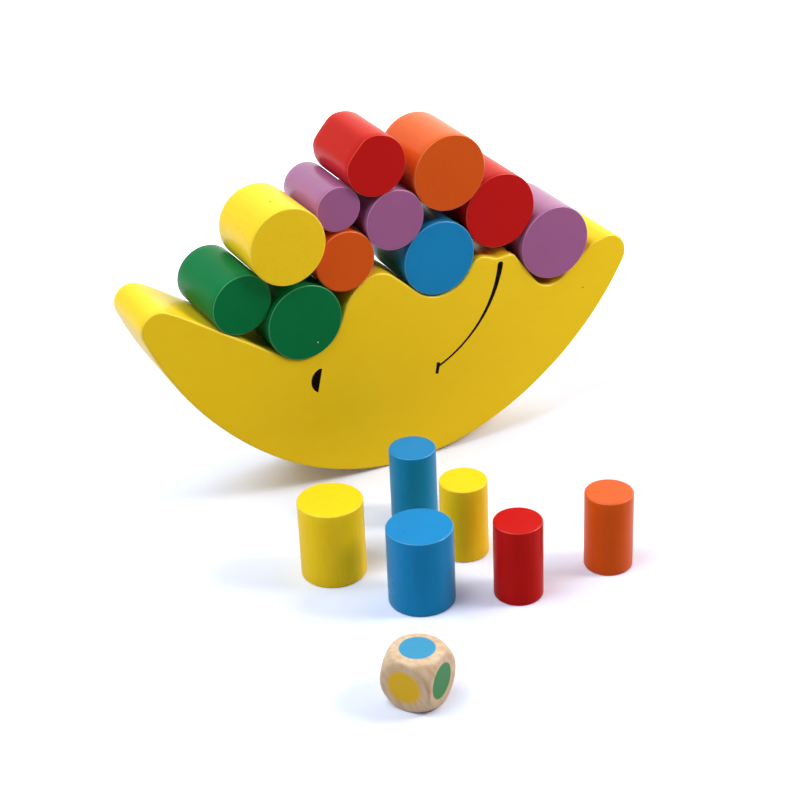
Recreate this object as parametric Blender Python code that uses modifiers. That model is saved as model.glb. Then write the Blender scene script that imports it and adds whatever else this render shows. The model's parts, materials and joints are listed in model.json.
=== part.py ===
# Balance stacking toy: a crescent moon that rocks on its round back, carrying a pile of
# painted dowel blocks, with more blocks and a colour die standing in front of it.
# Metres, +Z up. The moon's face looks along -Y; the origin is under the middle of the set.
import math

import bmesh
import bpy
from mathutils import Matrix, Vector

MM = 0.001

# Blocks: every block is a length of dowel with eased rims. Sizes in millimetres.
BLOCK_LENGTH = 40.0
DIAMETER = {"large": 39.7, "medium": 31.7, "small": 23.4}
BLOCK_RIM = 0.8
BLOCK_SIDES = 40
RIM_STEPS = 2
GAP = 0.3

# The red medium block has a planed flat, as deep as this, facing this way in the moon's frame.
FLAT_DEPTH = 1.4
FLAT_ANGLE = 144.5

# Two blocks lie askew: the green one's back end has swung up the slope, and the yellow one's
# has come down after it, turning on the orange block. Degrees.
ASKEW = {"green_medium": 5.2, "yellow_large": 0.7}

# Moon: sawn from one board. Its outline is measured from the centre of its round back, which
# is the axis it rocks on, before it is tilted.
MOON_THICKNESS = 40.0
MOON_RIM = 1.2
ROCKER_RADIUS = 126.2
ROCKER_HALF_ANGLE = 28.0
FLANK_RADIUS = {-1: 177.5, 1: 169.0}
FOREHEAD_TIP_RADIUS = 9.5
FOREHEAD_TIP_ANGLE = 26.6
CHIN_TIP_RADIUS = 11.0
CHIN_TIP_ANGLE = 22.2
ARC_STEP = 8.0
LONG_ARC_STEP = 2.5
MOON_TILT = 6.5

# The face profile from forehead to chin, as the circles that the sawn edge runs around:
# centre x, centre z, radius, and whether the circle is a bump of wood or a seat cut into it.
BUMP = 1
SEAT = -1
PROFILE = {
    "forehead": (-129.1, -50.5, 29.5, BUMP),
    "brow": (-50.6, -36.0, 20.2, SEAT),
    "nose_bridge": (-3.1, -40.5, 26.5, BUMP),
    "nose_tip": (-10.1, -29.0, 13.5, BUMP),
    "philtrum": (23.9, -14.0, 18.5, SEAT),
    "upper_lip": (49.4, -22.0, 8.0, BUMP),
    "mouth": (57.9, -11.8, 4.0, SEAT),
    "lower_lip": (64.9, -20.0, 5.5, BUMP),
    "chin_dip": (90.9, -23.5, 11.5, SEAT),
    "chin": (121.9, -23.5, 11.0, BUMP),
}

# How far the front end of each stacked block stands out of the moon's face.
STANDS_OUT = {
    "green_large": 1.5,
    "green_medium": 0.0,
    "yellow_large": 5.0,
    "orange_medium": 0.5,
    "purple_small": -0.5,
    "red_medium": 1.5,
    "orange_large": 1.5,
    "purple_medium": 1.0,
    "blue_large": 0.5,
    "red_large": 0.0,
    "purple_large": 1.5,
}

# Standing pieces: right of the rocking axis, and in front of the moon's face.
STANDING = {
    "yellow_medium": (-78.7, 73.3),
    "blue_small": (-22.8, 50.2),
    "blue_medium": (-53.1, 115.6),
    "yellow_small": (-15.9, 89.8),
    "red_small": (-11.6, 134.3),
    "orange_small": (37.9, 134.5),
}
DIE_PLACE = (-88.9, 180.6)
DIE_TURN = 33.8
DIE_SIDE = 25.0
DIE_BALL_RADIUS = 17.2
BALL_SEGMENTS = 32
BALL_RINGS = 16

COLOURS = {
    "yellow": "e8c61c",
    "green": "12874a",
    "blue": "2385c4",
    "red": "c81e18",
    "orange": "e5601c",
    "purple": "a06a97",
    "wood": "dcc19a",
}
PAINT_ROUGHNESS = 0.35
WOOD_ROUGHNESS = 0.6


def clear_scene():
    for old in list(bpy.data.objects):
        bpy.data.objects.remove(old, do_unlink=True)


def new_collection(name):
    collection = bpy.data.collections.new(name)
    bpy.context.scene.collection.children.link(collection)
    return collection


def linear(channel):
    if channel <= 0.04045:
        return channel / 12.92
    return ((channel + 0.055) / 1.055) ** 2.4


def finish(name, colour, roughness):
    material = bpy.data.materials.new(name)
    material.use_nodes = True
    shader = material.node_tree.nodes["Principled BSDF"]
    code = COLOURS[colour]
    rgb = [linear(int(code[i:i + 2], 16) / 255) for i in (0, 2, 4)]
    shader.inputs["Base Color"].default_value = (*rgb, 1.0)
    shader.inputs["Roughness"].default_value = roughness
    shader.inputs["Metallic"].default_value = 0.0
    return material


def move_to(obj, collection):
    for old in obj.users_collection:
        old.objects.unlink(obj)
    collection.objects.link(obj)


def as_cutter(obj, name):
    obj.name = name
    obj.hide_render = True
    obj.display_type = "WIRE"
    move_to(obj, cutters)


def add_boolean(obj, cutter, operation):
    boolean = obj.modifiers.new(cutter.name, "BOOLEAN")
    boolean.operation = operation
    boolean.object = cutter


def add_rim(obj, width):
    rim = obj.modifiers.new("rim", "BEVEL")
    rim.limit_method = "ANGLE"
    rim.angle_limit = math.radians(50)
    rim.width = width * MM
    rim.segments = RIM_STEPS


def shade_round(mesh):
    mesh.shade_smooth()
    mesh.set_sharp_from_angle(angle=math.radians(35))


def run_direction(first, second):
    """Direction of the straight edge that leaves one profile circle and meets the next."""
    offset = second["centre"] - first["centre"]
    turn = (first["radius"] * first["side"] - second["radius"] * second["side"]) / offset.length
    return math.atan2(offset.y, offset.x) - math.asin(turn)


def edge_line(first, second):
    """A point on that straight edge and its normal, pointing out of the wood."""
    angle = run_direction(first, second) + math.pi / 2
    normal = Vector((math.cos(angle), math.sin(angle)))
    return first["centre"] + normal * first["radius"] * first["side"], normal


def arc(centre, radius, start, sweep, step):
    count = max(1, math.ceil(abs(sweep) / math.radians(step)))
    angles = [start + sweep * i / count for i in range(count + 1)]
    return [centre + radius * Vector((math.cos(a), math.sin(a))) for a in angles]


def flank_centre(side):
    half = math.radians(ROCKER_HALF_ANGLE)
    return (FLANK_RADIUS[side] - ROCKER_RADIUS) * Vector((-side * math.sin(half), math.cos(half)))


def tip(side, radius, angle):
    """A crescent tip: a circle inside the flank's arc, touching it at the given angle."""
    angle = math.radians(angle)
    out = Vector((side * math.cos(angle), -math.sin(angle)))
    return {"centre": flank_centre(side) + out * (FLANK_RADIUS[side] - radius), "radius": radius, "side": BUMP}


def profile_circles():
    circles = {"forehead_tip": tip(-1, FOREHEAD_TIP_RADIUS, FOREHEAD_TIP_ANGLE)}
    for name, (x, z, radius, side) in PROFILE.items():
        circles[name] = {"centre": Vector((x, z)), "radius": radius, "side": side}
    circles["chin_tip"] = tip(1, CHIN_TIP_RADIUS, CHIN_TIP_ANGLE)
    return circles


def clockwise(start, end):
    return -((start - end) % math.tau)


def moon_outline(circles):
    """The closed outline, clockwise: over the face profile, then along the round back."""
    chain = list(circles.values())
    runs = [run_direction(a, b) for a, b in zip(chain, chain[1:])]
    left_flank = math.radians(FOREHEAD_TIP_ANGLE) - math.pi
    right_flank = -math.radians(CHIN_TIP_ANGLE)
    points = []
    for i, circle in enumerate(chain):
        facing = 0.0 if circle["side"] == BUMP else math.pi
        start = runs[i - 1] + math.pi / 2 + facing if i > 0 else left_flank
        end = runs[i] + math.pi / 2 + facing if i < len(runs) else right_flank
        sweep = clockwise(start, end) if circle["side"] == BUMP else -clockwise(end, start)
        points += arc(circle["centre"], circle["radius"], start, sweep, ARC_STEP)
    half = math.radians(ROCKER_HALF_ANGLE)
    back_right = half - math.pi / 2
    back_left = -half - math.pi / 2
    for centre, radius, start, end in (
        (flank_centre(1), FLANK_RADIUS[1], right_flank, back_right),
        (Vector((0, 0)), ROCKER_RADIUS, back_right, back_left),
        (flank_centre(-1), FLANK_RADIUS[-1], back_left, left_flank),
    ):
        points += arc(centre, radius, start, clockwise(start, end), LONG_ARC_STEP)[1:]
    return points[:-1]


def make_moon(circles, material):
    """The board: its outline extruded through its thickness, with rounded edges."""
    curve = bpy.data.curves.new("moon_outline", "CURVE")
    curve.dimensions = "2D"
    curve.fill_mode = "BOTH"
    curve.extrude = (MOON_THICKNESS / 2 - MOON_RIM) * MM
    curve.bevel_depth = MOON_RIM * MM
    curve.bevel_resolution = RIM_STEPS - 1
    curve.offset = -MOON_RIM * MM
    spline = curve.splines.new("POLY")
    outline = moon_outline(circles)
    spline.points.add(len(outline) - 1)
    for point, corner in zip(spline.points, outline):
        point.co = (corner.x * MM, corner.y * MM, 0.0, 1.0)
    spline.use_cyclic_u = True
    sketch = bpy.data.objects.new("moon_sketch", curve)
    cutters.objects.link(sketch)
    bpy.context.view_layer.update()
    solid = sketch.evaluated_get(bpy.context.evaluated_depsgraph_get())
    mesh = bpy.data.meshes.new_from_object(solid)
    bpy.data.objects.remove(sketch, do_unlink=True)
    bm = bmesh.new()
    bm.from_mesh(mesh)
    bmesh.ops.remove_doubles(bm, verts=bm.verts, dist=0.01 * MM)
    bmesh.ops.recalc_face_normals(bm, faces=bm.faces)
    bm.to_mesh(mesh)
    bm.free()
    mesh.transform(Matrix.Rotation(math.pi / 2, 4, "X"))
    shade_round(mesh)
    mesh.materials.clear()
    mesh.materials.append(material)
    moon = bpy.data.objects.new("moon_rocker", mesh)
    parts.objects.link(moon)
    return moon


def make_block(name, material):
    size = name.split("_")[1]
    radius = DIAMETER[size] / 2 * MM
    bpy.ops.mesh.primitive_cylinder_add(vertices=BLOCK_SIDES, radius=radius, depth=BLOCK_LENGTH * MM)
    block = bpy.context.object
    block.name = "block_" + name
    block.data.materials.append(material)
    shade_round(block.data)
    move_to(block, parts)
    return block


def make_die(material):
    """A cube whose corners and edges are turned down to a ball, leaving six round flats."""
    bpy.ops.mesh.primitive_cube_add(size=DIE_SIDE * MM)
    die = bpy.context.object
    die.name = "colour_die"
    die.data.materials.append(material)
    move_to(die, parts)
    bpy.ops.mesh.primitive_uv_sphere_add(
        segments=BALL_SEGMENTS, ring_count=BALL_RINGS, radius=DIE_BALL_RADIUS * MM)
    ball = bpy.context.object
    shade_round(ball.data)
    as_cutter(ball, "die_ball")
    ball.parent = die
    add_boolean(die, ball, "INTERSECT")
    return die


def plane_flat(block):
    """Planes the flat off a block that lies with its length along Y."""
    size = DIAMETER["medium"] * MM
    bpy.ops.mesh.primitive_cube_add(size=1.0)
    plane = bpy.context.object
    plane.data.transform(Matrix.Diagonal((size, size, 2 * BLOCK_LENGTH * MM, 1.0)))
    as_cutter(plane, "flat_plane")
    plane.parent = block
    angle = math.radians(FLAT_ANGLE)
    reach = size - FLAT_DEPTH * MM
    plane.location = (reach * math.cos(angle), reach * math.sin(angle), 0.0)
    plane.rotation_euler = (0.0, 0.0, angle)
    add_boolean(block, plane, "DIFFERENCE")


def lay_askew(block, normal, angle):
    """Swings the back end of a lying block round on what it lies on, about the front end of its axis."""
    front = block.location - Vector((0.0, BLOCK_LENGTH / 2 * MM, 0.0))
    turn = Matrix.Rotation(math.radians(angle), 4, Vector((normal.x, 0.0, normal.y)))
    block.matrix_basis = Matrix.Translation(front) @ turn @ Matrix.Translation(-front) @ block.matrix_basis


def on_edges(first, second, radius):
    """Centre of a block that lies in a seat, on the straight edges at both its sides."""
    (point_a, normal_a), (point_b, normal_b) = first, second
    reach_a = normal_a.dot(point_a) + radius + GAP
    reach_b = normal_b.dot(point_b) + radius + GAP
    return Matrix((normal_a, normal_b)).inverted() @ Vector((reach_a, reach_b))


def on_edge_against(edge, other, other_radius, radius):
    """Centre of a block that lies on a straight edge, to the left of another block."""
    point, normal = edge
    along = Vector((normal.y, -normal.x))
    foot = point + normal * (radius + GAP)
    offset = other - foot
    run = offset.dot(along) - math.sqrt((other_radius + radius + GAP) ** 2 - offset.dot(normal) ** 2)
    return foot + along * run


def on_two(left, left_radius, right, right_radius, radius):
    """Centre of a block that lies on two round things."""
    reach_left = left_radius + radius + GAP
    reach_right = right_radius + radius + GAP
    span = right - left
    along = (reach_left ** 2 - reach_right ** 2 + span.length_squared) / (2 * span.length)
    unit = span.normalized()
    rise = Vector((-unit.y, unit.x)) * math.sqrt(reach_left ** 2 - along ** 2)
    return left + unit * along + rise


def pile_up(circles):
    """Where each block of the pile comes to rest, from the seats upwards."""
    large, medium, small = (DIAMETER[size] / 2 for size in ("large", "medium", "small"))
    nose = circles["nose_tip"]
    slope = edge_line(circles["forehead"], circles["brow"])
    nose_side = edge_line(nose, circles["philtrum"])
    lip_side = edge_line(circles["philtrum"], circles["upper_lip"])
    dip_left = edge_line(circles["lower_lip"], circles["chin_dip"])
    dip_right = edge_line(circles["chin_dip"], circles["chin"])
    at = {"green_large": circles["brow"]["centre"]}
    at["green_medium"] = on_edge_against(slope, at["green_large"], large, medium)
    at["blue_large"] = on_edges(nose_side, lip_side, large)
    at["purple_large"] = on_edges(dip_left, dip_right, large)
    at["orange_medium"] = on_two(at["green_large"], large, nose["centre"], nose["radius"], medium)
    at["yellow_large"] = on_two(at["green_medium"], medium, at["orange_medium"], medium, large)
    at["purple_small"] = on_two(at["yellow_large"], large, at["orange_medium"], medium, small)
    at["purple_medium"] = on_two(at["orange_medium"], medium, at["blue_large"], large, medium)
    at["red_large"] = on_two(at["blue_large"], large, at["purple_large"], large, large)
    at["red_medium"] = on_two(at["purple_small"], small, at["purple_medium"], medium, medium)
    at["orange_large"] = on_two(at["purple_medium"], medium, at["red_large"], large, large)
    return at


def centre_on_origin(table):
    """Shifts the set so that the middle of its outer box stands over the origin."""
    bpy.context.view_layer.update()
    depsgraph = bpy.context.evaluated_depsgraph_get()
    points = []
    for part in parts.objects:
        if part.type == "MESH":
            solid = part.evaluated_get(depsgraph)
            points += [solid.matrix_world @ vertex.co for vertex in solid.data.vertices]
    for axis in (0, 1):
        values = [point[axis] for point in points]
        table.location[axis] = -(min(values) + max(values)) / 2


clear_scene()
parts = new_collection("balance_stacking_toy")
cutters = new_collection("cutters")
paints = {c: finish(c + "_paint", c, PAINT_ROUGHNESS) for c in COLOURS if c != "wood"}

table = bpy.data.objects.new("table_top", None)
parts.objects.link(table)

profile = profile_circles()
moon = make_moon(profile, paints["yellow"])
moon.parent = table
moon.location = (0.0, MOON_THICKNESS / 2 * MM, ROCKER_RADIUS * MM)
moon.rotation_euler = (0.0, math.radians(MOON_TILT), 0.0)

pile = pile_up(profile)
lies_on = {
    "green_medium": edge_line(profile["forehead"], profile["brow"])[1],
    "yellow_large": (pile["yellow_large"] - pile["orange_medium"]).normalized(),
}
for name, centre in pile.items():
    block = make_block(name, paints[name.split("_")[0]])
    block.parent = moon
    block.location = (centre.x * MM, -STANDS_OUT[name] * MM, centre.y * MM)
    block.rotation_euler = (math.pi / 2, 0.0, 0.0)
    if name == "red_medium":
        plane_flat(block)
    if name in ASKEW:
        lay_askew(block, lies_on[name], ASKEW[name])
    add_rim(block, BLOCK_RIM)

for name, (right, front) in STANDING.items():
    block = make_block(name, paints[name.split("_")[0]])
    block.parent = table
    block.location = (right * MM, -front * MM, BLOCK_LENGTH / 2 * MM)
    add_rim(block, BLOCK_RIM)

die = make_die(finish("beech", "wood", WOOD_ROUGHNESS))
die.parent = table
die.location = (DIE_PLACE[0] * MM, -DIE_PLACE[1] * MM, DIE_SIDE / 2 * MM)
die.rotation_euler = (0.0, 0.0, math.radians(DIE_TURN))

centre_on_origin(table)
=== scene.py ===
import json
import math

import bmesh
import bpy
from mathutils import Matrix, Vector, noise


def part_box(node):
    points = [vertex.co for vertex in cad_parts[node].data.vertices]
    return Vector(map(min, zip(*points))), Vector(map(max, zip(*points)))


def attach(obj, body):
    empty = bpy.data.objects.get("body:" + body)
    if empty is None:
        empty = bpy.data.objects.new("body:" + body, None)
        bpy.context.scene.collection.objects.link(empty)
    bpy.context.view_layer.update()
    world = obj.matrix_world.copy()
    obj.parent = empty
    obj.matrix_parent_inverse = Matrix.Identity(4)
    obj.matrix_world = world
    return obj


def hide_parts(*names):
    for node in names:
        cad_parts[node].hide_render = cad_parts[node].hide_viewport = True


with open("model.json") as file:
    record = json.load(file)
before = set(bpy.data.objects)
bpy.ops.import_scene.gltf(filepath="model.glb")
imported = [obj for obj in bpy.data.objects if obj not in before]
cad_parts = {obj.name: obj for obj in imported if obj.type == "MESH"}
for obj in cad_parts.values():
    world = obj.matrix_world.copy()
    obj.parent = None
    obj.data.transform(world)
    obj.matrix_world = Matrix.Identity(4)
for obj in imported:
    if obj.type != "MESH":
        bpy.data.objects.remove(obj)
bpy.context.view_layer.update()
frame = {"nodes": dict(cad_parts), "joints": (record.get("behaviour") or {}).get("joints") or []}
scene = bpy.context.scene
scene.view_settings.view_transform = "Standard"
mm = 0.001
print("frame loaded:", len(frame["nodes"]), "nodes")


def linearColour(code):  # sRGB hex to linear RGBA
    channels = [int(code[i:i + 2], 16) / 255 for i in (0, 2, 4)]
    return [c / 12.92 if c <= 0.04045 else ((c + 0.055) / 1.055) ** 2.4 for c in channels] + [1.0]


def addNode(tree, kind, settings=None, links=None):  # one node, its settings and what feeds it
    node = tree.nodes.new(kind)
    for key, value in (settings or {}).items():
        if isinstance(key, str) and hasattr(node, key):
            setattr(node, key, value)
        else:
            node.inputs[key].default_value = value
    for key, source in (links or {}).items():
        tree.links.new(source, node.inputs[key])
    return node


def newMaterial(name):
    material = bpy.data.materials.new(name)
    material.use_nodes = True
    return material, material.node_tree, material.node_tree.nodes["Principled BSDF"]


# camera, where the photograph was taken from

cameraSettings = {
    "place": (-0.37505, -0.68904, 0.5048),
    "turn": 25.949,  # degrees to the right of straight ahead
    "down": 28.697,
    "roll": -2.525,
    "lens": 84.35,  # on a 36 mm sensor
}


def placeCamera(settings):
    data = bpy.data.cameras.new("camera")
    data.lens = settings["lens"]
    data.clip_start = 0.05
    camera = bpy.data.objects.new("camera", data)
    scene.collection.objects.link(camera)
    aim = Matrix.Rotation(math.radians(-settings["turn"]), 4, "Z")
    pitch = Matrix.Rotation(math.radians(90 - settings["down"]), 4, "X")
    roll = Matrix.Rotation(math.radians(settings["roll"]), 4, "Z")
    camera.matrix_world = Matrix.Translation(settings["place"]) @ aim @ pitch @ roll
    scene.camera = camera


placeCamera(cameraSettings)
print("camera placed")


# light: a tent of softboxes, the high left one and the key on the right being the strongest

softBoxes = {
    "left": {"place": (-0.60, 0.10, 1.20), "size": (1.00, 1.00), "power": 13.2, "colour": "f3fcff"},
    "leftLow": {"place": (-1.15, 0.10, 0.58), "size": (1.20, 0.80), "power": 2.8, "colour": "fdfdff"},
    "key": {"place": (0.80, -0.45, 0.80), "size": (0.36, 0.36), "power": 8.6, "colour": "fff9f2"},
    "right": {"place": (1.00, 0.28, 0.95), "size": (1.20, 1.20), "power": 8.4, "colour": "ffffff"},
    "back": {"place": (0.00, 1.10, 1.00), "size": (1.60, 0.80), "power": 6.8, "colour": "fdfdff",
             "mirrored": False},  # kept out of the reflections on the tops
}
roomSettings = {"colour": "f4fae4", "fill": 0.02, "mirrored": 1.75, "seen": 1.2}
aimPoint = Vector((0.0, 0.03, 0.06))


def hangSoftBox(name, settings):
    data = bpy.data.lights.new(name + "SoftBox", "AREA")
    data.shape = "RECTANGLE"
    data.size, data.size_y = settings["size"]
    data.energy = settings["power"]
    data.color = linearColour(settings["colour"])[:3]
    lamp = bpy.data.objects.new(name + "SoftBox", data)
    lamp.visible_glossy = settings.get("mirrored", True)
    scene.collection.objects.link(lamp)
    place = Vector(settings["place"])
    aim = (aimPoint - place).to_track_quat("-Z", "Y")
    lamp.matrix_world = Matrix.Translation(place) @ aim.to_matrix().to_4x4()


def paintRoom(settings):  # white to the camera, pale in reflections, dim as a fill light
    world = bpy.data.worlds.new("whiteRoom")
    world.use_nodes = True
    scene.world = world
    tree = world.node_tree
    room = tree.nodes["Background"]
    room.inputs["Color"].default_value = linearColour(settings["colour"])
    rays = addNode(tree, "ShaderNodeLightPath")
    mirrored = addNode(tree, "ShaderNodeMapRange", {
        "To Min": settings["fill"], "To Max": settings["mirrored"]}, {"Value": rays.outputs["Is Glossy Ray"]})
    seen = addNode(tree, "ShaderNodeMix", {3: settings["seen"]},
                   {0: rays.outputs["Is Camera Ray"], 2: mirrored.outputs[0]})
    tree.links.new(seen.outputs[0], room.inputs["Strength"])


for boxName, boxSettings in softBoxes.items():
    hangSoftBox(boxName, boxSettings)
paintRoom(roomSettings)
print("lights hung")


# floor: white paper sweep that goes to white away from the shadows

floorSettings = {
    "half": 3.0,
    "seen": (0.92, 0.965, 1.12),  # linear, a cold white
    "bounce": "d2d2d6",  # what it sends back to the pieces
    "lift": 0.06,  # brightens the shadows, in this tint
    "tint": "8c98ff",
    "glow": 1.1,  # white away from the pieces
    "near": 0.17,  # m from the middle, where the glow starts and where it is full
    "far": 0.45,
    "roughness": 0.9,
}


def layFloor(settings):
    bm = bmesh.new()
    bmesh.ops.create_grid(bm, x_segments=1, y_segments=1, size=settings["half"])
    mesh = bpy.data.meshes.new("floor")
    bm.to_mesh(mesh)
    bm.free()
    material, tree, shader = newMaterial("whitePaper")  # uncoated paper: flat white, no shine
    shader.inputs["Roughness"].default_value = settings["roughness"]
    shader.inputs["Specular IOR Level"].default_value = 0.0
    rays = addNode(tree, "ShaderNodeLightPath")
    paper = addNode(tree, "ShaderNodeMix", {
        "data_type": "RGBA", 6: linearColour(settings["bounce"]), 7: [*settings["seen"], 1.0]},
        {0: rays.outputs["Is Camera Ray"]})
    tree.links.new(paper.outputs[2], shader.inputs["Base Color"])
    direct = addNode(tree, "ShaderNodeMath", {"operation": "MAXIMUM"},
                     {0: rays.outputs["Is Camera Ray"], 1: rays.outputs["Is Glossy Ray"]})
    seen = addNode(tree, "ShaderNodeMath", {"operation": "MAXIMUM"},
                   {0: direct.outputs[0], 1: rays.outputs["Is Transmission Ray"]})
    place = addNode(tree, "ShaderNodeTexCoord").outputs["Object"]
    away = addNode(tree, "ShaderNodeVectorMath", {"operation": "LENGTH"}, {0: place})
    far = addNode(tree, "ShaderNodeMapRange", {"From Min": settings["near"], "From Max": settings["far"]},
                  {"Value": away.outputs["Value"]})
    lift = addNode(tree, "ShaderNodeMix", {2: settings["lift"], 3: settings["glow"]}, {0: far.outputs[0]})
    tint = addNode(tree, "ShaderNodeMix", {
        "data_type": "RGBA", 6: linearColour(settings["tint"]), 7: [1.0] * 4}, {0: far.outputs[0]})
    level = addNode(tree, "ShaderNodeMath", {"operation": "MULTIPLY"},
                    {0: seen.outputs[0], 1: lift.outputs[0]})
    glow = addNode(tree, "ShaderNodeEmission", {}, {"Color": tint.outputs[2], "Strength": level.outputs[0]})
    both = addNode(tree, "ShaderNodeAddShader", {}, {0: shader.outputs[0], 1: glow.outputs[0]})
    tree.links.new(both.outputs[0], tree.nodes["Material Output"].inputs["Surface"])
    mesh.materials.append(material)
    floor = bpy.data.objects.new("floor", mesh)
    scene.collection.objects.link(floor)


layFloor(floorSettings)
print("floor laid")


# paint: sprayed toy enamel on sanded wood. Even colour with a soft sheen that mirrors the
# neighbours, slightly cloudy where the coat is thin, the wood's grain just felt through it.

enamelSettings = {  # the coat, its thin patches, the paler colour painted on the rims as a highlight, and its shine at a slant
    "yellow": {"deep": "fed31d", "light": "ffd926", "rim": "fdea78", "shine": 0.11},
    "green": {"deep": "02723d", "light": "057a44", "rim": "68b48b", "shine": 0.08},
    "blue": {"deep": "1585c4", "light": "1b8ccb", "rim": "7cbce0", "shine": 0.21},
    "red": {"deep": "c21110", "light": "c91512", "rim": "dd5a45", "shine": 0.08},
    "orange": {"deep": "dc5512", "light": "e25d19", "rim": "ee9060", "shine": 0.25},
    "purple": {"deep": "a05e92", "light": "a66598", "rim": "d6aecb", "shine": 0.44},
}
coatSettings = {
    "cloud": 22.0,  # mm, patches where the coat is thinner
    "grainWidth": 0.9,  # mm, drawn coarser than the 0.1 mm pores so that it shows
    "grainLength": 16.0,
    "peel": 1.6,  # mm, the ripple of sprayed enamel
    "dry": 0.36,
    "wet": 0.24,
    "shine": 0.05,  # seen square on
    "slant": (0.25, 0.55),  # where the shine starts to grow and where it is full
    "rimShine": 0.5,
    "relief": 0.08,
    "grainFelt": 0.6,  # against the peel
}
inkSettings = {"thick": "060302", "thin": "110905", "patch": 1.2, "roughness": 0.5, "shine": 0.03}


def toyEnamel(name, colour, along, streaky, rimHighlight, chips=()):
    material, tree, shader = newMaterial(name)
    place = addNode(tree, "ShaderNodeTexCoord").outputs["Object"]
    cloud = addNode(tree, "ShaderNodeTexNoise", {"Scale": 1 / (coatSettings["cloud"] * mm), "Detail": 2.0},
                    {"Vector": place})
    fibre = [1 / (coatSettings["grainWidth"] * mm)] * 3
    fibre[along] = 1 / (coatSettings["grainLength"] * mm)
    turned = addNode(tree, "ShaderNodeMapping", {"Scale": fibre}, {"Vector": place})
    grain = addNode(tree, "ShaderNodeTexNoise", {"Scale": 1.0, "Detail": 3.0}, {"Vector": turned.outputs[0]})
    peel = addNode(tree, "ShaderNodeTexNoise", {"Scale": 1 / (coatSettings["peel"] * mm), "Detail": 1.0},
                   {"Vector": place})
    paint = enamelSettings[colour]
    tones = {key: linearColour(paint[key]) for key in ("deep", "light", "rim")}
    clouded = addNode(tree, "ShaderNodeMix", {"data_type": "RGBA", 6: tones["deep"], 7: tones["light"]},
                      {0: cloud.outputs["Fac"]})
    streak = addNode(tree, "ShaderNodeMapRange", {
        "From Min": 0.3, "From Max": 0.7, "To Min": 1 - streaky, "To Max": 1 + streaky},
        {"Value": grain.outputs["Fac"]})
    coat = addNode(tree, "ShaderNodeMix", {"data_type": "RGBA", "blend_type": "MULTIPLY", 0: 1.0},
                   {6: clouded.outputs[2], 7: streak.outputs[0]})
    rim = addNode(tree, "ShaderNodeAttribute", {"attribute_name": "rim"})
    # the rounded rims get a paler colour: a painted highlight
    rimHighlightAmount = addNode(tree, "ShaderNodeMath", {"operation": "MULTIPLY", 1: rimHighlight}, {0: rim.outputs["Fac"]})
    shown = addNode(tree, "ShaderNodeMix", {"data_type": "RGBA", 7: tones["rim"]},
                    {0: rimHighlightAmount.outputs[0], 6: coat.outputs[2]}).outputs[2]
    for spot, radius, code in chips:  # knocks and specks in the coat
        away = addNode(tree, "ShaderNodeVectorMath", {"operation": "DISTANCE", 1: spot}, {0: place})
        inside = addNode(tree, "ShaderNodeMapRange", {
            "From Min": radius * mm, "From Max": radius * 0.5 * mm}, {"Value": away.outputs["Value"]})
        shown = addNode(tree, "ShaderNodeMix", {"data_type": "RGBA", 7: linearColour(code)},
                        {0: inside.outputs[0], 6: shown}).outputs[2]
    tree.links.new(shown, shader.inputs["Base Color"])
    sheen = addNode(tree, "ShaderNodeMapRange", {
        "To Min": coatSettings["wet"], "To Max": coatSettings["dry"]}, {"Value": cloud.outputs["Fac"]})
    tree.links.new(sheen.outputs[0], shader.inputs["Roughness"])
    felt = addNode(tree, "ShaderNodeMath", {"operation": "MULTIPLY_ADD", 1: coatSettings["grainFelt"]},
                   {0: grain.outputs["Fac"], 2: peel.outputs["Fac"]})
    bump = addNode(tree, "ShaderNodeBump", {"Strength": coatSettings["relief"], "Distance": 0.1 * mm},
                   {"Height": felt.outputs[0]})
    tree.links.new(bump.outputs["Normal"], shader.inputs["Normal"])
    slant = addNode(tree, "ShaderNodeLayerWeight")
    starts, full = coatSettings["slant"]
    gloss = addNode(tree, "ShaderNodeMapRange", {
        "From Min": starts, "From Max": full, "To Min": coatSettings["shine"], "To Max": paint["shine"]},
        {"Value": slant.outputs["Facing"]})
    lit = addNode(tree, "ShaderNodeMath", {"operation": "MULTIPLY", 1: coatSettings["rimShine"]},
                  {0: rim.outputs["Fac"]})
    level = addNode(tree, "ShaderNodeMath", {"operation": "MAXIMUM"},
                    {0: gloss.outputs[0], 1: lit.outputs[0]})
    tree.links.new(level.outputs[0], shader.inputs["Specular IOR Level"])
    return material


def printingInk():  # screen-printed black ink: near black, duller than the enamel around it
    material, tree, shader = newMaterial("screenInk")
    place = addNode(tree, "ShaderNodeTexCoord").outputs["Object"]
    thin = addNode(tree, "ShaderNodeTexNoise", {"Scale": 1 / (inkSettings["patch"] * mm), "Detail": 2.0},
                   {"Vector": place})
    tones = [linearColour(inkSettings[key]) for key in ("thick", "thin")]
    ink = addNode(tree, "ShaderNodeMix", {"data_type": "RGBA", 6: tones[0], 7: tones[1]},
                  {0: thin.outputs["Fac"]})
    tree.links.new(ink.outputs[2], shader.inputs["Base Color"])
    shader.inputs["Roughness"].default_value = inkSettings["roughness"]
    shader.inputs["Specular IOR Level"].default_value = inkSettings["shine"]
    return material


def easeRims(bm, edges, width, steps):  # rounds edges over and marks the strip that gets a painted highlight and more shine
    rim = bm.verts.layers.float["rim"]
    strip = set(bmesh.ops.bevel(bm, geom=edges, offset=width * mm, offset_type="OFFSET", affect="EDGES",
                                segments=steps, profile=0.5, material=-1)["faces"])
    inner = {v for f in strip for v in f.verts if all(g in strip for g in v.link_faces)}
    for vert in inner:
        vert[rim] = 1.0 if all(e.other_vert(vert) in inner for e in vert.link_edges) else 0.0


def keepPiece(name, bm, materials, body, node):
    for face in bm.faces:
        face.smooth = True
    mesh = bpy.data.meshes.new(name)
    bm.to_mesh(mesh)
    bm.free()
    for material in materials:
        mesh.materials.append(material)
    piece = bpy.data.objects.new(name, mesh)
    scene.collection.objects.link(piece)
    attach(piece, body)
    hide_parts(node)


# moon: one board, sawn round the profile, edges rounded over, eye and smile printed on the front

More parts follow.
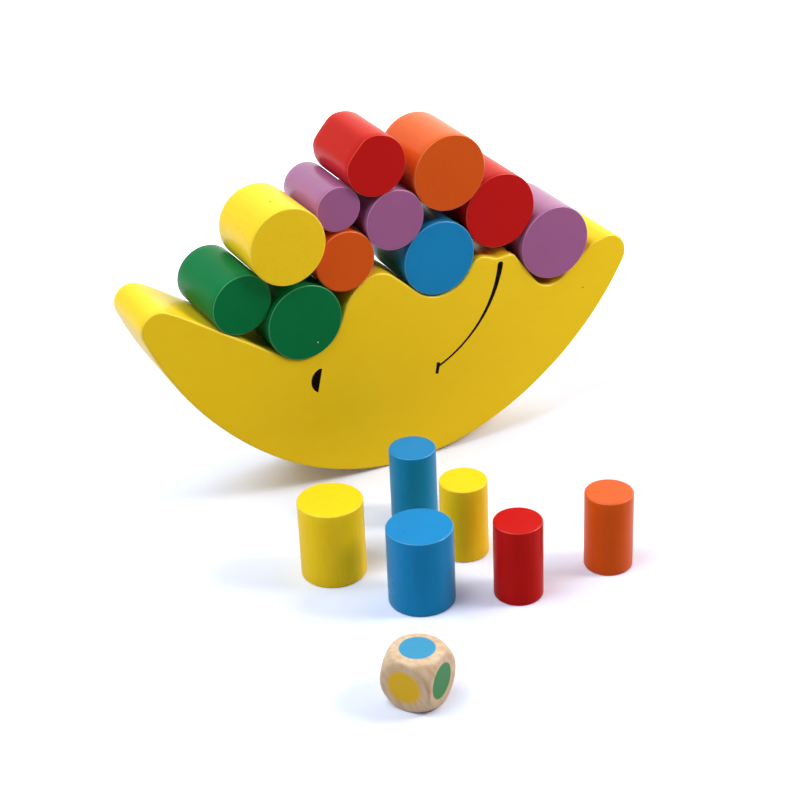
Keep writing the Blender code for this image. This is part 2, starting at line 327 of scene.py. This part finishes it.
moonSettings = {
    "thickness": 40.0,
    "rim": 1.2,
    "rimSteps": 4,
    "margin": 0.3,  # mm, a strip of flat beside the rim that keeps its shading clean
    "cuts": 9,  # across the thickness
    "backRadius": 126.2,
    "backHalfAngle": 28.0,
    "flankRadius": {-1: 177.5, 1: 169.0},
    "tips": {-1: (9.5, 26.6), 1: (11.0, 22.2)},  # radius and place on the flank
    "tilt": 6.5,
    "profile": [  # x, z, radius of each circle from forehead to chin; the minus ones are seats
        (-129.1, -50.5, 29.5),
        (-50.6, -36.0, -20.2),
        (-3.1, -40.5, 26.5),
        (-10.1, -29.0, 13.5),
        (23.9, -14.0, -18.5),
        (49.4, -22.0, 8.0),
        (57.9, -11.8, -4.0),
        (64.9, -20.0, 5.5),
        (90.9, -23.5, -11.5),
        (121.9, -23.5, 11.0),
    ],
    "step": 3.0,  # degrees per facet of the small arcs
    "backStep": 1.0,
    "ripple": 0.05,  # mm, left by the saw and the sander
    "rippleSize": 14.0,
    "streaky": 0.008,  # how far the grain shows through the coat
    "rimHighlight": 0.6,  # how strongly a highlight is painted on the rims
}
printSettings = {  # x, z and radius in mm, in the board's own frame
    "eyeCorners": ((-41.1, -76.3), (-41.0, -63.2), (-39.6, -63.3)),
    "eyeRound": (-38.04, -69.7),
    "smileOuter": (-7.4, -13.7, 68.9),
    "smileInner": (-3.4, -18.6, 61.4),
    "smileTop": -19.4,
    "tick": ((28.4, -70.3), (26.5, -69.9), (26.1, -76.4), (27.9, -76.7)),
    "speck": (112.36, -39.15, 0.45),
    "speckSides": 7,
    "speckSquash": 0.8,
    "eyeStep": 6.0,  # degrees per facet
    "crownStep": 15.0,
    "smileStep": 2.0,
}


def direction(angle):
    return Vector((math.cos(angle), 0.0, math.sin(angle)))


def flankCentre(side):
    half = math.radians(moonSettings["backHalfAngle"])
    reach = moonSettings["flankRadius"][side] - moonSettings["backRadius"]
    return reach * Vector((-side * math.sin(half), 0.0, math.cos(half)))


def moonCircles():
    circles = [(Vector((x, 0.0, z)), radius) for x, z, radius in moonSettings["profile"]]
    ends = []
    for side, (radius, angle) in moonSettings["tips"].items():
        out = math.radians(angle)
        reach = moonSettings["flankRadius"][side] - radius
        ends.append((flankCentre(side) + reach * Vector((side * math.cos(out), 0.0, -math.sin(out))), radius))
    return [ends[0]] + circles + [ends[1]]


def runArc(bm, last, centre, radius, start, sweep, step):  # spins a point round a circle, joined to the last
    first = bm.verts.new((centre + radius * direction(start)) * mm)
    if last is not None:
        bm.edges.new((last, first))
    steps = max(1, math.ceil(abs(math.degrees(sweep)) / step))
    spun = bmesh.ops.spin(bm, geom=[first], cent=centre * mm, axis=(0, 1, 0), angle=-sweep, steps=steps)
    return first, next(item for item in spun["geom_last"] if isinstance(item, bmesh.types.BMVert))


def traceOutline(bm):
    circles = moonCircles()
    runs = []
    for (a, radiusA), (b, radiusB) in zip(circles, circles[1:]):
        gap = b - a
        runs.append(math.atan2(gap.z, gap.x) - math.asin((radiusA - radiusB) / gap.length))
    leftFlank = math.radians(moonSettings["tips"][-1][1]) - math.pi
    rightFlank = -math.radians(moonSettings["tips"][1][1])
    begin, last = None, None
    for i, (centre, radius) in enumerate(circles):
        turned = math.pi / 2 if radius > 0 else -math.pi / 2
        start = runs[i - 1] + turned if i > 0 else leftFlank
        end = runs[i] + turned if i < len(runs) else rightFlank
        sweep = -((start - end) % math.tau) if radius > 0 else (end - start) % math.tau
        first, last = runArc(bm, last, centre, abs(radius), start, sweep, moonSettings["step"])
        begin = begin or first
    half = math.radians(moonSettings["backHalfAngle"])
    turns = [rightFlank, half - math.pi / 2, -half - math.pi / 2, leftFlank]
    centres = [flankCentre(1), Vector(), flankCentre(-1)]
    radii = [moonSettings["flankRadius"][1], moonSettings["backRadius"], moonSettings["flankRadius"][-1]]
    for centre, radius, start, end in zip(centres, radii, turns, turns[1:]):
        sweep = -((start - end) % math.tau)
        last = runArc(bm, last, centre, radius, start, sweep, moonSettings["backStep"])[1]
    bm.edges.new((last, begin))
    bmesh.ops.remove_doubles(bm, verts=bm.verts, dist=0.02 * mm)


def closeLoop(bm, corners):
    verts = [bm.verts.new((x * mm, 0.0, z * mm)) for x, z in corners]
    for a, b in zip(verts, verts[1:] + verts[:1]):
        bm.edges.new((a, b))


def arcPoints(centre, start, end, step):  # corners of an arc from one point to another, the shorter way
    a = Vector((start[0] - centre[0], start[1] - centre[1]))
    b = Vector((end[0] - centre[0], end[1] - centre[1]))
    sweep = a.angle_signed(b)
    count = max(2, math.ceil(abs(math.degrees(sweep)) / step))
    points = []
    for i in range(count + 1):
        turned = Matrix.Rotation(-sweep * i / count, 2) @ a
        points.append((centre[0] + turned.x, centre[1] + turned.y))
    return points


def rightOf(circle, z):  # where a circle's right side is at that height
    return (circle[0] + math.sqrt(circle[2] ** 2 - (z - circle[1]) ** 2), z)


def bottomOf(circle, x):
    return (x, circle[1] - math.sqrt(circle[2] ** 2 - (x - circle[0]) ** 2))


def tracePrint(bm):  # loops of the eye, the smile and one speck, flat in the board's plane
    settings = printSettings
    low, high, corner = settings["eyeCorners"]
    closeLoop(bm, arcPoints(settings["eyeRound"], low, high, settings["eyeStep"]) + [corner])
    outer, inner, top = settings["smileOuter"], settings["smileInner"], settings["smileTop"]
    tickX = settings["tick"][0][0]
    start, end = rightOf(inner, top), rightOf(outer, top)
    middle = ((start[0] + end[0]) / 2, top)
    crown = arcPoints(middle, start, (middle[0], top + (end[0] - start[0]) / 2), settings["crownStep"])
    crown += arcPoints(middle, crown[-1], end, settings["crownStep"])[1:]
    corners = crown + arcPoints(outer[:2], end, bottomOf(outer, tickX), settings["smileStep"])[1:]
    corners += list(settings["tick"])[::-1]
    corners += arcPoints(inner[:2], bottomOf(inner, tickX), start, settings["smileStep"])[:-1]
    closeLoop(bm, corners)
    x, z, radius = settings["speck"]
    turns = [math.tau * i / settings["speckSides"] for i in range(settings["speckSides"])]
    closeLoop(bm, [(x + radius * math.cos(turn), z + settings["speckSquash"] * radius * math.sin(turn))
                   for turn in turns])


def roughen(bm, size, depth, axis):  # nothing sawn and sanded by hand is quite true, but the ends stay flat
    bm.normal_update()
    shifts = []
    for vert in bm.verts:
        flat = abs(vert.normal.dot(axis)) > 0.995
        amount = 0.0 if flat else noise.noise(vert.co / (size * mm)) * depth * mm
        shifts.append(vert.normal * amount)
    for vert, shift in zip(bm.verts, shifts):
        vert.co += shift


def sawMoon():
    settings = moonSettings
    depth = settings["thickness"] * mm
    bm = bmesh.new()
    bm.verts.layers.float.new("rim")
    traceOutline(bm)
    bmesh.ops.translate(bm, verts=bm.verts, vec=(0, depth / 2, 0))
    board = bmesh.ops.contextual_create(bm, geom=bm.edges[:])["faces"]
    front = bmesh.ops.extrude_face_region(bm, geom=board)["geom"]
    bmesh.ops.translate(bm, verts=[v for v in front if isinstance(v, bmesh.types.BMVert)], vec=(0, -depth, 0))
    bmesh.ops.recalc_face_normals(bm, faces=bm.faces)
    rims = [e for e in bm.edges if abs(e.verts[0].co.y - e.verts[1].co.y) < 0.1 * mm]
    easeRims(bm, rims, settings["rim"], settings["rimSteps"])
    flats = [f for f in bm.faces if len(f.verts) > 50]  # front and back
    bmesh.ops.inset_region(bm, faces=flats, thickness=settings["margin"] * mm, use_even_offset=True)
    through = [e for e in bm.edges if abs(e.verts[0].co.y - e.verts[1].co.y) > 0.5 * depth]
    bmesh.ops.subdivide_edges(bm, edges=through, cuts=settings["cuts"], use_grid_fill=True)
    roughen(bm, settings["rippleSize"], settings["ripple"], Vector((0, 1, 0)))
    face = min((f for f in bm.faces if len(f.verts) > 50), key=lambda f: f.calc_center_median().y)
    border = list(face.edges)
    bmesh.ops.delete(bm, geom=[face], context="FACES_ONLY")
    old = set(bm.edges)
    tracePrint(bm)
    loops = [e for e in bm.edges if e not in old]
    printed = {v for e in loops for v in e.verts}
    bmesh.ops.translate(bm, verts=list(printed), vec=(0, -depth / 2, 0))
    bmesh.ops.triangle_fill(bm, use_beauty=True, edges=border + loops, normal=(0, -1, 0))
    marks = bmesh.ops.holes_fill(bm, edges=loops, sides=0)["faces"]
    for mark in marks:
        mark.material_index = 1
    bmesh.ops.recalc_face_normals(bm, faces=bm.faces)
    hub = next(j for j in frame["joints"] if j["name"] == "moon_rock")["pos_m"]
    tilt = Matrix.Rotation(math.radians(settings["tilt"]), 4, "Y")
    bm.transform(Matrix.Translation(hub) @ tilt)
    return bm


moonPaint = toyEnamel("moonEnamel", "yellow", 0, moonSettings["streaky"], moonSettings["rimHighlight"])
keepPiece("moon_board", sawMoon(), [moonPaint, printingInk()], "moon", "moon_rocker")
print("moon sawn and printed")


# dowel blocks: cut to length, rims eased, painted all over

dowelSettings = {
    "length": 40.0,
    "radius": {"large": 19.85, "medium": 15.85, "small": 11.7},
    "sides": 96,
    "rim": 0.8,
    "rimSteps": 4,
    "margin": 0.25,
    "cuts": 9,
    "ripple": 0.03,
    "rippleSize": 11.0,
    "streaky": 0.04,
    # how strongly a highlight is painted on the rims, lying and standing
    "rimHighlight": {"lying": 0.6, "standing": 0.3},
    "flat": {"depth": 1.4, "angle": 138.0, "softness": 30},  # planed on the red medium block
    "askew": {  # degrees, and square to what it has swung round on
        "green_medium": (5.2, (0.5671, 0.0, 0.8236)),
        "yellow_large": (0.7, (-0.8823, 0.0, 0.4707)),
    },
    "lying": ["green_large", "green_medium", "blue_large", "purple_large", "orange_medium", "yellow_large",
              "purple_small", "purple_medium", "red_large", "red_medium", "orange_large"],
    "standing": ["yellow_medium", "blue_medium", "blue_small", "yellow_small", "red_small", "orange_small"],
}


def planeFlat(bm, radius, depth, angle, softness):  # draws the round in to a flat with soft shoulders
    for vert in bm.verts:
        turned = math.atan2(vert.co.y, vert.co.x) - math.radians(angle)
        inward = max(math.cos(turned), 0.0) / (1 - depth * mm / radius)
        shrink = (1 + inward ** softness) ** (-1 / softness)
        vert.co.x *= shrink
        vert.co.y *= shrink


def cutDowel(name):
    settings = dowelSettings
    radius = settings["radius"][name.split("_")[1]] * mm
    length = settings["length"] * mm
    bm = bmesh.new()
    bm.verts.layers.float.new("rim")
    bmesh.ops.create_cone(bm, cap_ends=True, segments=settings["sides"], radius1=radius, radius2=radius,
                          depth=length)
    if name == "red_medium":
        planeFlat(bm, radius, **settings["flat"])
    rims = [e for e in bm.edges if abs(e.verts[0].co.z - e.verts[1].co.z) < 0.1 * mm]
    easeRims(bm, rims, settings["rim"], settings["rimSteps"])
    ends = [f for f in bm.faces if len(f.verts) > 20]  # all others have four corners
    bmesh.ops.inset_region(bm, faces=ends, thickness=settings["margin"] * mm, use_even_offset=True)
    through = [e for e in bm.edges if abs(e.verts[0].co.z - e.verts[1].co.z) > length / 2]
    bmesh.ops.subdivide_edges(bm, edges=through, cuts=settings["cuts"], use_grid_fill=True)
    bmesh.ops.recalc_face_normals(bm, faces=bm.faces)
    low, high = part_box("block_" + name)
    place = Matrix.Translation((low + high) / 2)
    if name in settings["askew"]:
        angle, axis = settings["askew"][name]
        place = place @ Matrix.Rotation(math.radians(angle), 4, axis)
    if name in settings["lying"]:
        place = place @ Matrix.Rotation(math.pi / 2, 4, "X")
    bm.transform(place)
    roughen(bm, settings["rippleSize"], settings["ripple"], place.to_3x3() @ Vector((0, 0, 1)))
    return bm


chipSettings = {  # place, radius in mm and what shows
    "yellow_large": [((-0.0620, 0.0866, 0.1594), 0.7, "8a7a2a"), ((-0.0781, 0.0916, 0.1477), 0.35, "9a8440"),
                     ((-0.0783, 0.0847, 0.1474), 0.35, "9a8440")],
    "green_large": [((-0.0463, 0.0767, 0.0839), 0.45, "e6efe4")],
}
paints = {}
for blockName in dowelSettings["lying"] + dowelSettings["standing"]:
    colourName = blockName.split("_")[0]
    group = "lying" if blockName in dowelSettings["lying"] else "standing"
    paintName = blockName if blockName in chipSettings else colourName + group.capitalize()
    if paintName not in paints:
        grainAxis = 1 if group == "lying" else 2
        paints[paintName] = toyEnamel(paintName + "Enamel", colourName, grainAxis, dowelSettings["streaky"],
                                      dowelSettings["rimHighlight"][group], chipSettings.get(blockName, ()))
    keepPiece("dowel_" + blockName, cutDowel(blockName), [paints[paintName]], blockName,
              "block_" + blockName)
print("dowels cut")


# die: a beech cube tumbled to a ball at its corners, one dot brushed on each face

dieSettings = {
    "side": 25.0,
    "ball": 17.2,
    "softness": 40,  # higher is a crisper rim round the flats
    "turn": 33.8,
    "cuts": 39,
    "dots": [  # paint ahead and behind on each of its axes, how far off centre, radius, soft edge
        ("b62a22", "eab80d", (0.0, 0.1, 0.4), 8.0, 1.1),
        ("965f8b", "128245", (-1.5, 0.0, 0.8), 8.2, 0.3),
        ("1f94c3", "dd6c28", (0.8, 0.3, 0.0), 8.0, 0.25),
    ],
    "wood": ("e4ccae", "cb9f7c", "9a7256"),
    "streak": (2.8, 26.0),  # mm across and along the grain
    "fleck": (0.35, 3.0),
    "grainTurn": (0.5, 0.25, 0.3),  # how the cube was cut from the plank
    "grainShift": (0.03, 0.05, 0.0),
    "cover": 0.95,  # the wood just shows through the dots
    "roughness": 0.42,
    "shine": (0.08, 0.26),  # square on and at a slant
    "relief": 0.15,
}


def beechWithDots(centre):  # tumbled beech: pale, faint rings, short dark flecks, dull; matt paint dots
    settings = dieSettings
    material, tree, shader = newMaterial("beechWithDots")
    place = addNode(tree, "ShaderNodeTexCoord").outputs["Object"]
    shifted = addNode(tree, "ShaderNodeVectorMath", {"operation": "SUBTRACT", 1: centre}, {0: place})
    own = addNode(tree, "ShaderNodeMapping", {"Rotation": (0, 0, -math.radians(settings["turn"]))},
                  {"Vector": shifted.outputs[0]}).outputs[0]
    slanted = addNode(tree, "ShaderNodeMapping", {
        "Rotation": settings["grainTurn"], "Location": settings["grainShift"]}, {"Vector": own})
    wide, long = settings["streak"]
    streakMap = addNode(tree, "ShaderNodeMapping", {
        "Scale": (1 / (wide * mm), 1 / (wide * mm), 1 / (long * mm))}, {"Vector": slanted.outputs[0]})
    streak = addNode(tree, "ShaderNodeTexNoise", {"Scale": 1.0, "Detail": 3.0},
                     {"Vector": streakMap.outputs[0]})
    streaked = addNode(tree, "ShaderNodeMapRange", {"From Min": 0.28, "From Max": 0.72, "To Max": 0.8},
                       {"Value": streak.outputs["Fac"]})
    wide, long = settings["fleck"]
    fleckMap = addNode(tree, "ShaderNodeMapping", {
        "Scale": (1 / (wide * mm), 1 / (wide * mm), 1 / (long * mm))}, {"Vector": slanted.outputs[0]})
    fleck = addNode(tree, "ShaderNodeTexNoise", {"Scale": 1.0, "Detail": 2.0},
                    {"Vector": fleckMap.outputs[0]})
    pale, warm, dark = (linearColour(code) for code in settings["wood"])
    wood = addNode(tree, "ShaderNodeMix", {"data_type": "RGBA", 6: pale, 7: warm}, {0: streaked.outputs[0]})
    flecked = addNode(tree, "ShaderNodeMapRange", {"From Min": 0.60, "From Max": 0.75, "To Max": 0.55},
                      {"Value": fleck.outputs["Fac"]})
    shown = addNode(tree, "ShaderNodeMix", {"data_type": "RGBA", 7: dark},
                    {0: flecked.outputs[0], 6: wood.outputs[2]}).outputs[2]
    parts = addNode(tree, "ShaderNodeSeparateXYZ", {}, {0: own})
    for axis, (along, behind, aside, radius, edge) in enumerate(settings["dots"]):
        flatten = [1.0, 1.0, 1.0]
        flatten[axis] = 0.0
        flat = addNode(tree, "ShaderNodeVectorMath", {"operation": "MULTIPLY", 1: flatten}, {0: own})
        ring = addNode(tree, "ShaderNodeVectorMath", {"operation": "DISTANCE", 1: [a * mm for a in aside]},
                       {0: flat.outputs[0]})
        mask = addNode(tree, "ShaderNodeMapRange", {
            "From Min": (radius + edge) * mm, "From Max": (radius - edge) * mm, "To Max": settings["cover"]},
            {"Value": ring.outputs["Value"]})
        ahead = addNode(tree, "ShaderNodeMath", {"operation": "GREATER_THAN", 1: 0.0},
                        {0: parts.outputs[axis]})
        paint = addNode(tree, "ShaderNodeMix", {
            "data_type": "RGBA", 6: linearColour(behind), 7: linearColour(along)}, {0: ahead.outputs[0]})
        shown = addNode(tree, "ShaderNodeMix", {"data_type": "RGBA"},
                        {0: mask.outputs[0], 6: shown, 7: paint.outputs[2]}).outputs[2]
    tree.links.new(shown, shader.inputs["Base Color"])
    bump = addNode(tree, "ShaderNodeBump", {"Strength": settings["relief"], "Distance": 0.1 * mm},
                   {"Height": fleck.outputs["Fac"]})
    tree.links.new(bump.outputs["Normal"], shader.inputs["Normal"])
    shader.inputs["Roughness"].default_value = settings["roughness"]
    slant = addNode(tree, "ShaderNodeLayerWeight")
    starts, full = coatSettings["slant"]
    low, high = settings["shine"]
    shine = addNode(tree, "ShaderNodeMapRange", {
        "From Min": starts, "From Max": full, "To Min": low, "To Max": high},
        {"Value": slant.outputs["Facing"]})
    tree.links.new(shine.outputs[0], shader.inputs["Specular IOR Level"])
    return material


def tumbleDie():
    settings = dieSettings
    bm = bmesh.new()
    bmesh.ops.create_cube(bm, size=2.0)
    bmesh.ops.subdivide_edges(bm, edges=bm.edges[:], cuts=settings["cuts"], use_grid_fill=True)
    half, ball, crisp = settings["side"] / 2, settings["ball"], settings["softness"]
    for vert in bm.verts:
        out = Vector([math.tan(c * math.pi / 4) for c in vert.co]).normalized()
        flat = max(abs(c) for c in out)
        vert.co = out * ((flat / half) ** crisp + ball ** -crisp) ** (-1 / crisp) * mm
    low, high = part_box("colour_die")
    centre = (low + high) / 2
    bm.transform(Matrix.Translation(centre) @ Matrix.Rotation(math.radians(settings["turn"]), 4, "Z"))
    return bm, centre


dieMesh, dieCentre = tumbleDie()
keepPiece("die_cube", dieMesh, [beechWithDots(dieCentre)], "die", "colour_die")
print("die tumbled")
